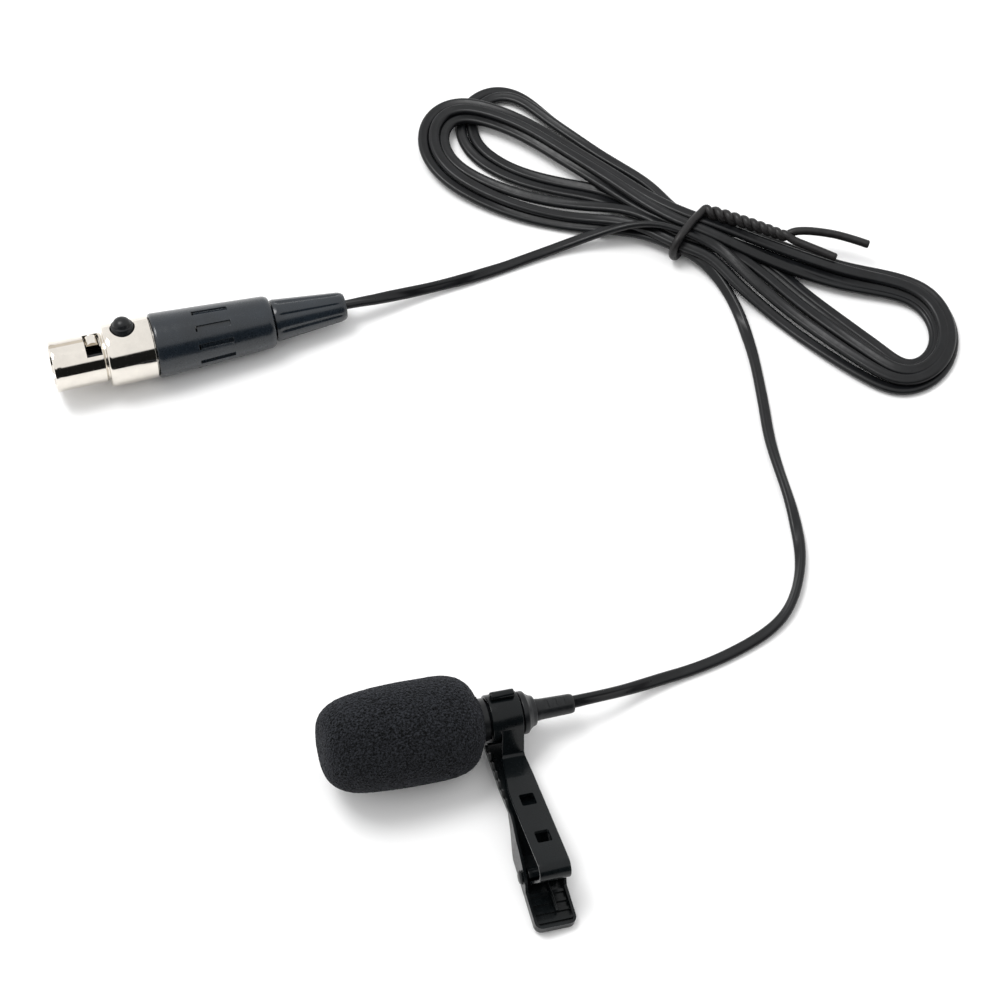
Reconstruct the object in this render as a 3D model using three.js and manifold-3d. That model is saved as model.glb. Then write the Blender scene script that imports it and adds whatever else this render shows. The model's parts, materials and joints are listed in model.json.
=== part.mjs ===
// Lavalier microphone: clip-on capsule with foam windscreen, thin twin cord tied in a hank, mini-XLR socket.
// Millimetres, +Z up. The origin is under the middle of the microphone and its clip, on the table.
import * as THREE from 'three';
import { mergeVertices } from 'three/addons/utils/BufferGeometryUtils.js';
import Module from 'manifold-3d';

const wasm = await Module();
wasm.setup();

// ---------- driving dimensions ----------

// Microphone. Its own frame has +X along the axis towards the cord,
// and its origin in the middle of the clip ring.
const MIC_AT = [9.0, 13.2, 6.9];
const MIC_PITCH = 8;
const HOUSING_R = 3.5;
const HOUSING_FRONT = -14;
const SEAT_R = 2.75;
const RING_HALF = 2.55;
const RING_R = 3.85;
const SHEET = 0.55;
const FOAM_FRONT = -30.05;
const FOAM_REAR = -3.85;
const FOAM_R = 8.4;
const FOAM_WIDEST = -12;
const FOAM_LIP = 0.955;
const FOAM_BORE_R = 3.8;
const FOAM_BORE_END = -14.6;
const CAP_END = 5.3;
const RELIEF_START = 4.7;
const RELIEF_END = 11.9;
const RELIEF_R = 1.8;

// Clip, in the microphone's frame; the profile is drawn in Y and Z.
const BEND = [-5.6, -3.2];
const PLATE_RISE = 17.5;
const PLATE_LENGTH = 23;
const NECK_LEFT = -1.15;
const TAPER_LENGTH = 8.1;
const HOLE_SIDE = 2.4;
const HOLE_STATIONS = [10.1, 18.0];
const U_BEND_R = 1.575;
const PIVOT = [-25.9, -4.4];
const PIN_R = 0.65;
const KNUCKLE_R = 1.1;
const JAW_WALL = 0.45;
const JAW_FRONT_HALF = 2.75;
const JAW_CHEEK = 0.45;
const JAW_REAR_HALF = 3.4;
const JAW_CORNER_R = 1.2;
const JAW_FLOOR = -6.42;
const JAW_TIP = -1.2;
const LEVER_END = -34.8;
const TOOTH_PITCH = 1.95;
const TOOTH_DEPTH = 0.6;
const TOOTH_COUNT = 7;
const RIB_COUNT = 4;
const RIB_PITCH = 1.55;

// Connector. Its own frame has +X from the mouth to the boot and +Z towards the latch button.
const PLUG_AT = [-47.8, 97.9, 6.75];
const PLUG_TURN = 0.9;
const PLUG_TILT = 3.1;
const LATCH_ROLL = -17;
const BARREL_R = 4.4;
const BARREL_BORE_R = 3.8;
const COLLAR_R = 5.5;
const COLLAR_START = 9.3;
const COLLAR_END = 17.5;
const HANDLE_R = 5.7;
const HANDLE_END = 38.8;
const GRIP_SLOTS = 10;
const GRIP_SLOT = { from: 24.3, to: 30.5, width: 1, depth: 0.35 };
const BOOT_END = 52.0;
const INSERT_R = 2.75;
const CONTACT_R = 0.55;
const CONTACT_RING_R = 1.55;
const CONTACT_ANGLES = [-90, -15, 195];
const LEAF_LOW = 3.0;
const LEAF_HIGH = 3.35;
const LATCH_PIVOT_X = 17.6;
const HOOK_X = 7.3;
const BUTTON_X = 12.9;
const WINDOW_SIDES = [-3.2, 1.6];
const BUTTON_R = 1.95;
const BUTTON_TOP = 7.4;

// Cord.
const CORD_R = 1.05;
const TUBE_SIDES = 8;
const HANK_HEIGHT = 4.6;
const WAIST = [66.8, 97.9];
const WAIST_TURN = -40;
const TIE_WIRE_R = 0.75;
const TIE_HALF_WIDTH = 4.7;
const TIE_TOP = 5.75;
const TAIL_Z = 6.1;

const PLUG_ROUTE = [
  [4.4, 98.72, 3.94], [7.5, 98.9, 3.7], [11.5, 99.2, 2.9], [16, 99.6, 1.8], [21, 100, 1.15],
  [26, 100.4, CORD_R], [30, 100.9, CORD_R], [34, 101.4, CORD_R], [38, 102, CORD_R], [42, 102.5, CORD_R],
  [46, 102.8, CORD_R],
];
const MIC_ROUTE = [
  [21.15, 13.25, 5.2], [24, 13.35, 4.75], [28, 13.8, 3.5], [32, 14.5, 2.1], [36.5, 15.3, 1.2],
  [40, 15.7, CORD_R], [43.5, 16, CORD_R], [47.3, 16.6, CORD_R], [51.2, 17.5, CORD_R],
  [55.2, 18.7, CORD_R], [58.7, 20.3, CORD_R], [61.6, 22.8, CORD_R], [63.9, 26.2, CORD_R],
  [65.6, 29.8, CORD_R], [66.7, 33.7, CORD_R], [67.3, 37.8, CORD_R], [67.7, 41.9, CORD_R],
  [67.8, 46.2, CORD_R], [67.9, 49.9, CORD_R], [68.4, 55.9, CORD_R], [69.3, 60.5, CORD_R],
  [70.0, 65.3, CORD_R], [70.7, 70, CORD_R], [71.1, 75, CORD_R], [71.2, 80, CORD_R],
];
const HANK_OUTLINE = [
  [69.8, 101.8], [74.7, 99.4], [79.8, 95.4], [86.7, 90.2], [93.6, 85.1], [101.0, 80.9], [106.0, 76.4],
  [107.6, 70.0], [106.5, 64.1], [102.6, 58.9], [97.1, 56.4], [92.0, 57.0], [87.5, 61.2], [82.1, 68.3],
  [76.5, 77.0], [71.4, 85.5], [67.6, 92.0], [64.1, 94.9], [60.5, 99.0], [55.7, 101.7], [46.8, 105.9],
  [39.3, 110.1], [32.9, 115.3], [27.9, 121.1], [25.6, 127.1], [25.9, 132.5], [28.6, 137.2], [35.0, 139.4],
  [42.4, 141.3], [47.4, 138.6], [51.8, 130.8], [58.4, 120.5], [64.9, 110.8], [68.5, 105.4],
];

// ---------- materials ----------

const finish = (color, roughness, metalness = 0) => ({ color, roughness, metalness });
const FOAM = finish(0x232427, 0.98);
const BLACK_PLASTIC = finish(0x17191b, 0.45);
const RUBBER = finish(0x1b1d1f, 0.6);
const BLACK_STEEL = finish(0x1a1d20, 0.35, 0.5);
const NICKEL = finish(0xd8d2c6, 0.16, 1);
const BRASS = finish(0xc9a24a, 0.3, 1);
const FELT = finish(0x3a3a3c, 0.95);
const BOARD = finish(0x1f5a34, 0.6);
const COPPER = finish(0xb0603c, 0.4);

// ---------- shape helpers ----------

const rad = THREE.MathUtils.degToRad;

// The cyclic change of axes that stands an extrusion's outline up in Y and Z and runs its depth along X.
const ACROSS = new THREE.Matrix4().makeBasis(
  new THREE.Vector3(0, 1, 0),
  new THREE.Vector3(0, 0, 1),
  new THREE.Vector3(1, 0, 0),
);

function positionsOnly(geometry) {
  const bare = new THREE.BufferGeometry();
  const flat = geometry.index ? geometry.toNonIndexed() : geometry;
  bare.setAttribute('position', flat.getAttribute('position').clone());
  return mergeVertices(bare, 1e-4);
}

function signedVolume(points, corners) {
  const [a, b, c] = [new THREE.Vector3(), new THREE.Vector3(), new THREE.Vector3()];
  let sum = 0;
  for (let i = 0; i < corners.length; i += 3) {
    a.fromArray(points, 3 * corners[i]);
    b.fromArray(points, 3 * corners[i + 1]);
    c.fromArray(points, 3 * corners[i + 2]);
    sum += a.dot(b.cross(c)) / 6;
  }
  return sum;
}

// A closed geometry as a solid with its faces pointing out.
function toSolid(geometry) {
  const merged = positionsOnly(geometry);
  const points = merged.getAttribute('position').array;
  const all = merged.index.array;
  const corners = [];
  for (let i = 0; i < all.length; i += 3) {
    const [a, b, c] = [all[i], all[i + 1], all[i + 2]];
    if (a !== b && b !== c && c !== a) corners.push(a, b, c);
  }
  if (signedVolume(points, corners) < 0) corners.reverse();
  const vertProperties = Float32Array.from(points);
  const triVerts = Uint32Array.from(corners);
  return new wasm.Manifold(new wasm.Mesh({ numProp: 3, vertProperties, triVerts }));
}

function toGeometry(solid) {
  const mesh = solid.getMesh();
  const geometry = new THREE.BufferGeometry();
  geometry.setAttribute('position', new THREE.BufferAttribute(Float32Array.from(mesh.vertProperties), 3));
  geometry.setIndex(new THREE.BufferAttribute(Uint32Array.from(mesh.triVerts), 1));
  geometry.computeVertexNormals();
  return geometry;
}

function meshOf(name, shape, look) {
  const solid = shape instanceof THREE.BufferGeometry ? toSolid(shape) : shape;
  const mesh = new THREE.Mesh(toGeometry(solid), new THREE.MeshStandardMaterial(look));
  mesh.name = name;
  return mesh;
}

// A body of revolution about X, from [radius, x] pairs.
function turned(profile, segments = 32) {
  const points = profile.map(([r, x]) => new THREE.Vector2(r, x));
  if (profile[0][0] > 0) points.push(points[0].clone());
  return new THREE.LatheGeometry(points, segments).rotateZ(-Math.PI / 2);
}

function rod(radius, from, to, segments = 16) {
  return turned([[0, from], [radius, from], [radius, to], [0, to]], segments);
}

function block(xs, ys, zs) {
  const sides = [xs, ys, zs].map(([low, high]) => high - low);
  const middles = [xs, ys, zs].map(([low, high]) => (low + high) / 2);
  return new THREE.BoxGeometry(...sides).translate(...middles);
}

// An outline in Y and Z, given as [y, z] pairs, run across from one X to another.
function across(outline, from, to) {
  const shape = new THREE.Shape(outline.map(([y, z]) => new THREE.Vector2(y, z)));
  const geometry = new THREE.ExtrudeGeometry(shape, { depth: to - from, bevelEnabled: false });
  return geometry.applyMatrix4(ACROSS).translate(from, 0, 0);
}

// An outline in X and Y, run up from one Z to another.
function upright(outline, from, to) {
  const shape = new THREE.Shape(outline.map(([x, y]) => new THREE.Vector2(x, y)));
  return new THREE.ExtrudeGeometry(shape, { depth: to - from, bevelEnabled: false }).translate(0, 0, from);
}

function tube(curve, radius, steps, sides = TUBE_SIDES) {
  const section = new THREE.Shape().absarc(0, 0, radius, 0, 2 * Math.PI);
  return new THREE.ExtrudeGeometry(section, {
    extrudePath: curve,
    steps,
    curveSegments: sides / 2,
    bevelEnabled: false,
  });
}

function smoothCurve(points) {
  return new THREE.CatmullRomCurve3(points.map((p) => new THREE.Vector3(...p)), false, 'centripetal');
}

function joined(...shapes) {
  const solids = shapes.map((shape) => (shape instanceof THREE.BufferGeometry ? toSolid(shape) : shape));
  return solids.reduce((whole, next) => whole.add(next));
}

function cut(body, ...tools) {
  const start = body instanceof THREE.BufferGeometry ? toSolid(body) : body;
  const cutters = tools.map((tool) => (tool instanceof THREE.BufferGeometry ? toSolid(tool) : tool));
  return cutters.reduce((whole, next) => whole.subtract(next), start);
}

// ---------- bent sheet ----------

// The middle line of a sheet bent in the YZ plane: straights as lengths, bends as a radius and a left turn.
function bentLine(start, heading, moves) {
  const points = [[...start]];
  let [y, z] = start;
  let angle = rad(heading);
  for (const { forward = 0, radius = 0, turn = 0 } of moves) {
    const steps = radius > 0 ? Math.max(2, Math.ceil(Math.abs(turn) / 18)) : 1;
    for (let i = 0; i < steps; i += 1) {
      const bend = rad(turn) / steps;
      const stride = radius > 0 ? 2 * radius * Math.sin(Math.abs(bend) / 2) : forward;
      angle += bend / 2;
      y += stride * Math.cos(angle);
      z += stride * Math.sin(angle);
      angle += bend / 2;
      points.push([y, z]);
    }
  }
  return points;
}

// The sheet's outline round its middle line.
function thickened(line, thickness) {
  const sides = [[], []];
  line.forEach(([y, z], i) => {
    const [y0, z0] = line[Math.max(i - 1, 0)];
    const [y1, z1] = line[Math.min(i + 1, line.length - 1)];
    const length = Math.hypot(y1 - y0, z1 - z0);
    const normal = [-(z1 - z0) / length, (y1 - y0) / length];
    sides[0].push([y + (normal[0] * thickness) / 2, z + (normal[1] * thickness) / 2]);
    sides[1].push([y - (normal[0] * thickness) / 2, z - (normal[1] * thickness) / 2]);
  });
  return [...sides[0], ...sides[1].reverse()];
}

// ---------- microphone ----------

function windscreen() {
  const outer = [];
  const frontLength = FOAM_WIDEST - FOAM_FRONT;
  const rearLength = FOAM_REAR - FOAM_WIDEST;
  for (let i = 0; i <= 9; i += 1) {
    const reach = Math.sin((Math.PI / 2) * (1 - i / 9));
    outer.push([FOAM_R * (1 - reach ** 4) ** 0.25, FOAM_WIDEST - frontLength * reach]);
  }
  for (let i = 1; i <= 6; i += 1) {
    const reach = FOAM_LIP * Math.sin((Math.PI / 2) * (i / 6));
    outer.push([FOAM_R * (1 - reach ** 3) ** (1 / 3), FOAM_WIDEST + rearLength * reach]);
  }
  const bore = [[FOAM_BORE_R, FOAM_REAR], [FOAM_BORE_R, FOAM_BORE_END], [0, FOAM_BORE_END]];
  outer[0][0] = 0;
  return turned([...outer, ...bore], 28);
}

function housing() {
  return turned([
    [2.9, HOUSING_FRONT], [HOUSING_R, HOUSING_FRONT], [HOUSING_R, -RING_HALF - 0.3],
    [SEAT_R, -RING_HALF - 0.3], [SEAT_R, RING_HALF], [2.4, RING_HALF], [2.4, 4.0], [1.3, 4.0],
    [1.3, -5], [2.9, -5],
  ]);
}

function grille() {
  const disc = rod(2.75, HOUSING_FRONT + 0.1, HOUSING_FRONT + 0.5, 24);
  const holes = [rod(0.4, HOUSING_FRONT - 1, HOUSING_FRONT + 2, 8)];
  for (let i = 0; i < 6; i += 1) {
    const angle = (i * Math.PI) / 3;
    const hole = rod(0.4, HOUSING_FRONT - 1, HOUSING_FRONT + 2, 8);
    holes.push(hole.translate(0, 1.6 * Math.cos(angle), 1.6 * Math.sin(angle)));
  }
  return cut(disc, ...holes);
}

function rearCap() {
  return turned([
    [2.7, 2.85], [HOUSING_R, 2.85], [HOUSING_R, 3.7], [3.05, 4.1], [2.65, 4.6], [2.4, CAP_END],
    [2.1, CAP_END], [2.1, 4.4], [2.7, 4.2],
  ]);
}

function micRelief() {
  const sleeve = turned([
    [1.35, RELIEF_START], [RELIEF_R, RELIEF_START], [RELIEF_R, 6], [1.6, RELIEF_END - 0.3],
    [1.45, RELIEF_END], [1.35, RELIEF_END],
  ], 24);
  const slots = [6.9, 8.3, 9.7].flatMap((x) => [
    block([x, x + 0.7], [-2, 2], [1.5, 2.2]),
    block([x, x + 0.7], [-2, 2], [-2.2, -1.5]),
  ]);
  return cut(sleeve, ...slots);
}

function microphone() {
  return [
    meshOf('windscreen', windscreen(), FOAM),
    meshOf('mic_housing', housing(), BLACK_PLASTIC),
    meshOf('mic_grille', grille(), NICKEL),
    meshOf('acoustic_felt', rod(2.7, -13.3, -12.9, 20), FELT),
    meshOf('electret_capsule', rod(2.0, -12.6, -9.9, 20), NICKEL),
    meshOf('capsule_seat', turned([[2.12, -12.4], [2.75, -12.4], [2.75, -10.2], [2.12, -10.2]], 20), RUBBER),
    meshOf('mic_board', rod(2.6, -9.5, -8.9, 20), BOARD),
    meshOf('rear_cap', rearCap(), BLACK_PLASTIC),
    meshOf('mic_strain_relief', micRelief(), RUBBER),
  ];
}

// ---------- clip ----------

// Where the sheet leaves the arc, so that it runs straight onto the knuckle round the pivot.
function knuckleHeading(arcCentre) {
  const [dy, dz] = [PIVOT[0] - arcCentre[0], PIVOT[1] - arcCentre[1]];
  const apart = Math.hypot(dy, dz);
  const lean = Math.asin((U_BEND_R - KNUCKLE_R) / apart);
  return {
    heading: THREE.MathUtils.radToDeg(Math.atan2(dz, dy) + lean) + 360,
    straight: Math.sqrt(apart ** 2 - (U_BEND_R - KNUCKLE_R) ** 2),
  };
}

function plateLine(withKnuckle) {
  const heading = 180 - PLATE_RISE;
  const [cosRise, sinRise] = [Math.cos(rad(PLATE_RISE)), Math.sin(rad(PLATE_RISE))];
  const end = [BEND[0] - PLATE_LENGTH * cosRise, BEND[1] + PLATE_LENGTH * sinRise];
  const arcCentre = [end[0] - U_BEND_R * sinRise, end[1] - U_BEND_R * cosRise];
  const knuckle = knuckleHeading(arcCentre);
  const moves = [
    { forward: PLATE_LENGTH },
    { radius: U_BEND_R, turn: knuckle.heading - heading },
    { forward: withKnuckle ? knuckle.straight : knuckle.straight - 1.9 },
  ];
  if (withKnuckle) moves.push({ radius: KNUCKLE_R, turn: 285 });
  return bentLine(BEND, heading, moves);
}

// The tongue leaves the ring along its tangent and bends up into the plate.
function neckLine() {
  const middleR = RING_R - SHEET / 2;
  const toBend = Math.hypot(...BEND);
  const angle = Math.atan2(BEND[1], BEND[0]) - Math.acos(middleR / toBend);
  const leave = [middleR * Math.cos(angle), middleR * Math.sin(angle)];
  const run = [BEND[0] - leave[0], BEND[1] - leave[1]];
  const rise = rad(PLATE_RISE);
  return [
    leave,
    [leave[0] + 0.82 * run[0], leave[1] + 0.82 * run[1]],
    [BEND[0] - 0.12, BEND[1] - 0.05],
    [BEND[0] - 1.6 * Math.cos(rise), BEND[1] + 1.6 * Math.sin(rise)],
  ];
}

function clipRing() {
  const band = turned([
    [RING_R - SHEET, -RING_HALF], [RING_R, -RING_HALF], [RING_R, RING_HALF], [RING_R - SHEET, RING_HALF],
  ], 36);
  const window = across([[0, 0], [-6, 2.6], [-6, -4.6]], NECK_LEFT, RING_HALF + 1);
  return cut(band, window);
}

function clipTab() {
  const bead = new THREE.CylinderGeometry(0.72, 0.72, 4, 12).rotateZ(Math.PI / 2);
  return bead.translate(-0.1, 1.85, 3.98);
}

function clipUpper() {
  const plate = joined(
    across(thickened(plateLine(true), SHEET), -RING_HALF, 0.2),
    across(thickened(plateLine(false), SHEET), 0.15, RING_HALF),
  );
  const neck = across(thickened(neckLine(), SHEET), NECK_LEFT, RING_HALF);
  const holes = HOLE_STATIONS.map((station) => {
    const half = HOLE_SIDE / 2;
    const hole = block([-half, half], [-half, half], [-1, 1]).rotateX(-rad(PLATE_RISE));
    const y = BEND[0] - station * Math.cos(rad(PLATE_RISE));
    const z = BEND[1] + station * Math.sin(rad(PLATE_RISE));
    return hole.translate(0, y, z);
  });
  const taper = upright([
    [-4, BEND[0] + 1], [NECK_LEFT, BEND[0] + 1], [NECK_LEFT, BEND[0]], [-RING_HALF, BEND[0] - TAPER_LENGTH],
    [-4, BEND[0] - TAPER_LENGTH],
  ], -8, 8);
  return cut(joined(clipRing(), clipTab(), neck, cut(plate, taper)), ...holes);
}

// The jaw's side view: a toothed bar along the plate, a waist, cheeks round the pivot and the thumb lever.
function jawSide() {
  const slope = Math.tan(rad(PLATE_RISE));
  const biteLine = (y) => BEND[1] - SHEET - 0.1 + (BEND[0] - y) * slope;
  const teeth = [[JAW_TIP, biteLine(JAW_TIP) - TOOTH_DEPTH]];
  for (let i = 0; i < TOOTH_COUNT; i += 1) {
    const root = JAW_TIP - i * TOOTH_PITCH;
    teeth.push([root - 0.5 * TOOTH_PITCH, biteLine(root - 0.5 * TOOTH_PITCH)]);
    teeth.push([root - TOOTH_PITCH, biteLine(root - TOOTH_PITCH) - TOOTH_DEPTH]);
  }
  const waist = JAW_TIP - TOOTH_COUNT * TOOTH_PITCH - 0.9;
  const top = [
    [waist - 1, biteLine(waist - 1) - 0.5], [-22.5, -1.5], [-25.2, -2.3], [-27.3, -3.4], [-28.4, -4.9],
  ];
  const lever = [[LEVER_END, -4.9], [LEVER_END, JAW_FLOOR]];
  const under = [[-21.9, JAW_FLOOR], [waist, biteLine(waist) - 1.2], [JAW_TIP, biteLine(JAW_TIP) - 1.05]];
  return { solid: [...teeth, ...top, ...lever, ...under], under };
}

// The jaw's plan: narrow along the teeth with a cheek on the left, wide round the pivot, and round at the
// lever's corners.
function jawPlan(inset) {
  const front = JAW_FRONT_HALF - inset;
  const rear = JAW_REAR_HALF - inset;
  const end = LEVER_END + inset;
  const corner = JAW_CORNER_R - inset;
  const right = [[front, JAW_TIP - inset], [front, -16], [rear, -21]];
  for (let i = 0; i <= 4; i += 1) {
    const angle = (Math.PI / 2) * (i / 4);
    right.push([rear - corner + corner * Math.cos(angle), end + corner - corner * Math.sin(angle)]);
  }
  const left = right.map(([x, y]) => [-x, y]);
  left.splice(1, 1, [-front - JAW_CHEEK, -11], [-front - JAW_CHEEK, -18]);
  return [...right, ...left.reverse()];
}

function lowerJaw() {
  const { solid, under } = jawSide();
  const wide = JAW_REAR_HALF + 1;
  const outer = toSolid(upright(jawPlan(0), -8, 2)).intersect(toSolid(across(solid, -wide, wide)));
  const floor = [[LEVER_END, JAW_FLOOR], ...under].map(([y, z]) => [y, z + JAW_WALL]);
  const hollowSide = across([[LEVER_END, 6], ...floor, [JAW_TIP, 6]], -wide, wide);
  const hollow = toSolid(upright(jawPlan(JAW_WALL), -8, 7)).intersect(toSolid(hollowSide));
  const pinHole = rod(PIN_R + 0.15, -5, 5).translate(0, ...PIVOT);
  const ribs = [];
  for (let i = 0; i < RIB_COUNT; i += 1) {
    const y = LEVER_END + 1.4 + i * RIB_PITCH;
    const half = JAW_REAR_HALF - 0.2;
    ribs.push(block([-half, half], [y - 0.25, y + 0.25], [JAW_FLOOR + 0.2, JAW_FLOOR + JAW_WALL + 0.4]));
  }
  return joined(cut(outer, hollow, pinHole), ...ribs);
}

function hingePin() {
  const head = 1.15;
  const edge = JAW_REAR_HALF + 0.15;
  return turned([
    [0, -edge - 0.35], [head, -edge - 0.35], [head, -edge], [PIN_R, -edge], [PIN_R, edge], [head, edge],
    [head, edge + 0.35], [0, edge + 0.35],
  ], 20).translate(0, ...PIVOT);
}

function clipSpring() {
  const coilR = 1.2;
  const pitch = 0.62;
  const turns = 2.5;
  const points = [[0.75, PIVOT[0] - 6.4, JAW_FLOOR + 1.3], [0.75, PIVOT[0] - 2.6, JAW_FLOOR + 1.05]];
  for (let i = 0; i <= 10 * turns; i += 1) {
    const angle = -Math.PI / 2 - (2 * Math.PI * i) / 10;
    const x = 0.75 + (pitch * i) / 10;
    points.push([x, PIVOT[0] + coilR * Math.cos(angle), PIVOT[1] + coilR * Math.sin(angle)]);
  }
  points.push([2.2, PIVOT[0] + 3.0, PIVOT[1] + 1.5], [2.2, PIVOT[0] + 5.5, PIVOT[1] + 2.6]);
  return tube(smoothCurve(points), 0.24, 66, 6);
}

function clip() {
  return [
    meshOf('clip_upper', clipUpper(), BLACK_STEEL),
    meshOf('clip_lower_jaw', lowerJaw(), BLACK_STEEL),
    meshOf('clip_hinge_pin', hingePin(), BLACK_STEEL),
    meshOf('clip_spring', clipSpring(), BLACK_STEEL),
  ];
}

// ---------- connector ----------

function connectorShell() {
  const body = turned([
    [BARREL_BORE_R, 0], [BARREL_R + 0.05, 0], [BARREL_R + 0.1, 0.4], [BARREL_R, 1.2],
    [BARREL_R, COLLAR_START - 0.5], [4.1, COLLAR_START - 0.3], [4.1, COLLAR_START],
    [5.25, COLLAR_START + 0.15], [COLLAR_R, COLLAR_START + 0.5], [COLLAR_R, COLLAR_END - 0.1],
    [COLLAR_R - 0.1, COLLAR_END], [4.85, COLLAR_END], [4.85, 24], [4.3, 24], [4.3, 10.9],
    [BARREL_BORE_R, 10.5],
  ], 40);
  const keyway = block([-1, HOOK_X], [-0.45, 0.45], [BARREL_R - 0.35, BARREL_R + 1]);
  const window = block([HOOK_X - 1.35, HOOK_X + 1.35], WINDOW_SIDES, [2.6, BARREL_R + 1]);
  const buttonHole = rod(BUTTON_R + 0.25, 2, 7, 20).rotateY(-Math.PI / 2).translate(BUTTON_X, 0, 0);
  return cut(body, keyway, window, buttonHole);
}

function atContact(angle, geometry) {
  const turn = rad(angle);
  return geometry.translate(0, CONTACT_RING_R * Math.cos(turn), CONTACT_RING_R * Math.sin(turn));
}

function socketInsert() {
  const body = turned([
    [0, 0.8], [INSERT_R, 0.8], [INSERT_R, 11.5], [4.0, 11.5], [4.0, 14.8], [0, 14.8],
  ], 28);
  const latchSlot = block([4.8, 16], [-1.6, 1.6], [1.75, 5]);
  const buttonSlot = block([11, 16], [-2.3, 2.3], [2.5, 5]);
  const bores = CONTACT_ANGLES.map((angle) => atContact(angle, rod(CONTACT_R + 0.15, 0, 16, 12)));
  return cut(body, latchSlot, buttonSlot, ...bores);
}

function contact(angle) {
  const sleeve = turned([
    [0.33, 1.6], [CONTACT_R, 1.6], [CONTACT_R, 17.5], [0, 17.5], [0, 5], [0.33, 5],
  ], 12);
  return atContact(angle, sleeve);
}

function latchLeaf() {
  const leaf = block([HOOK_X - 1.2, LATCH_PIVOT_X], [-1.2, 1.2], [LEAF_LOW, LEAF_HIGH]);
  const hook = new THREE.CylinderGeometry(1.15, 1.15, 2.4, 20).translate(HOOK_X, 0, LEAF_LOW + 0.3);
  const keep = block([HOOK_X - 2, HOOK_X + 2], [-2, 2], [LEAF_LOW, LEAF_LOW + 2]);
  return joined(leaf, toSolid(hook).intersect(toSolid(keep)));
}

function latchButton() {
  const dome = [[0, LEAF_HIGH + 0.25], [BUTTON_R, LEAF_HIGH + 0.25], [BUTTON_R, 5.95], [1.6, 6.1]];
  for (let i = 0; i <= 4; i += 1) {
    const angle = (Math.PI / 2) * (i / 4);
    dome.push([1.6 * Math.cos(angle), 6.4 + (BUTTON_TOP - 6.4) * Math.sin(angle)]);
  }
  dome[dome.length - 1][0] = 0;
  return turned(dome, 20).rotateY(-Math.PI / 2).translate(BUTTON_X, 0, 0);
}

function cableClamp() {
  const body = turned([[1.35, 25.6], [3.3, 25.6], [3.3, 30], [2.2, 34.5], [1.35, 34.5]], 20);
  const slots = [0, 60, 120].map((angle) => block([29, 36], [-0.25, 0.25], [-4, 4]).rotateX(rad(angle)));
  return cut(body, ...slots);
}

function handle() {
  const [front, rear] = [[HANDLE_R, COLLAR_END + 0.6], [4.62, HANDLE_END - 0.8]];
  const body = turned([
    [5.15, COLLAR_END + 0.3], [HANDLE_R - 0.05, COLLAR_END + 0.3], front, rear, [4.35, HANDLE_END - 0.2],
    [3.9, HANDLE_END], [3.0, HANDLE_END], [3.0, HANDLE_END - 1.4], [3.6, HANDLE_END - 1.4], [4.2, 25.5],
    [5.15, 25.2],
  ], 40);
  const taper = (front[0] - rear[0]) / (rear[1] - front[1]);
  const middle = (GRIP_SLOT.from + GRIP_SLOT.to) / 2;
  const half = [(GRIP_SLOT.to - GRIP_SLOT.from) / 2, GRIP_SLOT.width / 2];
  const slots = [];
  for (let i = 0; i < GRIP_SLOTS; i += 1) {
    const slot = block([-half[0], half[0]], [-half[1], half[1]], [-GRIP_SLOT.depth, 1]);
    slot.rotateY(Math.atan(taper)).translate(middle, 0, front[0] - taper * (middle - front[1]));
    slots.push(slot.rotateX(((i + 0.5) * 2 * Math.PI) / GRIP_SLOTS));
  }
  return cut(body, ...slots);
}

function flexBoot() {
  return turned([
    [1.4, 36], [2.6, 36], [2.6, HANDLE_END + 0.3], [3.75, HANDLE_END + 0.3], [2.55, BOOT_END - 0.7],
    [2.1, BOOT_END], [1.4, BOOT_END],
  ], 28);
}

function conductor(side) {
  const start = rad(side > 0 ? -15 : 195);
  return tube(smoothCurve([
    [17.8, CONTACT_RING_R * Math.cos(start), CONTACT_RING_R * Math.sin(start)],
    [20.5, side * 1.7, -0.2], [23.5, side * 1.0, 0.3], [27, side * 0.45, 0], [35.5, side * 0.45, 0],
  ]), 0.38, 14, 6);
}

function connector() {
  return [
    meshOf('connector_shell', connectorShell(), NICKEL),
    meshOf('socket_insert', socketInsert(), BLACK_PLASTIC),
    ...CONTACT_ANGLES.map((angle, i) => meshOf(`socket_contact_${i + 1}`, contact(angle), BRASS)),
    meshOf('latch_leaf', latchLeaf(), NICKEL),
    meshOf('latch_button', latchButton(), BLACK_PLASTIC),
    meshOf('cable_clamp', cableClamp(), BLACK_PLASTIC),
    meshOf('handle', handle(), RUBBER),
    meshOf('flex_boot', flexBoot(), RUBBER),
    meshOf('conductor_1', conductor(1), COPPER),
    meshOf('conductor_2', conductor(-1), COPPER),
  ];
}

// ---------- cord ----------

function atWaist(geometry) {
  return geometry.rotateZ(rad(WAIST_TURN)).translate(WAIST[0], WAIST[1], 0);
}

// The hank's outer shape, drawn in under the tie.
function hank() {
  const outline = new THREE.CatmullRomCurve3(HANK_OUTLINE.map(([x, y]) => new THREE.Vector3(x, y, 0)), true);
  const body = upright(outline.getPoints(72).slice(0, -1).map((p) => [p.x, p.y]), 0, HANK_HEIGHT);
  const gap = atWaist(block([-1.3, 1.3], [-12, 12], [-1, 8]));
  const core = atWaist(block([-1.5, 1.5], [-3.5, 3.5], [1.9, 4.4]));
  return joined(cut(body, gap), core);
}

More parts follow.
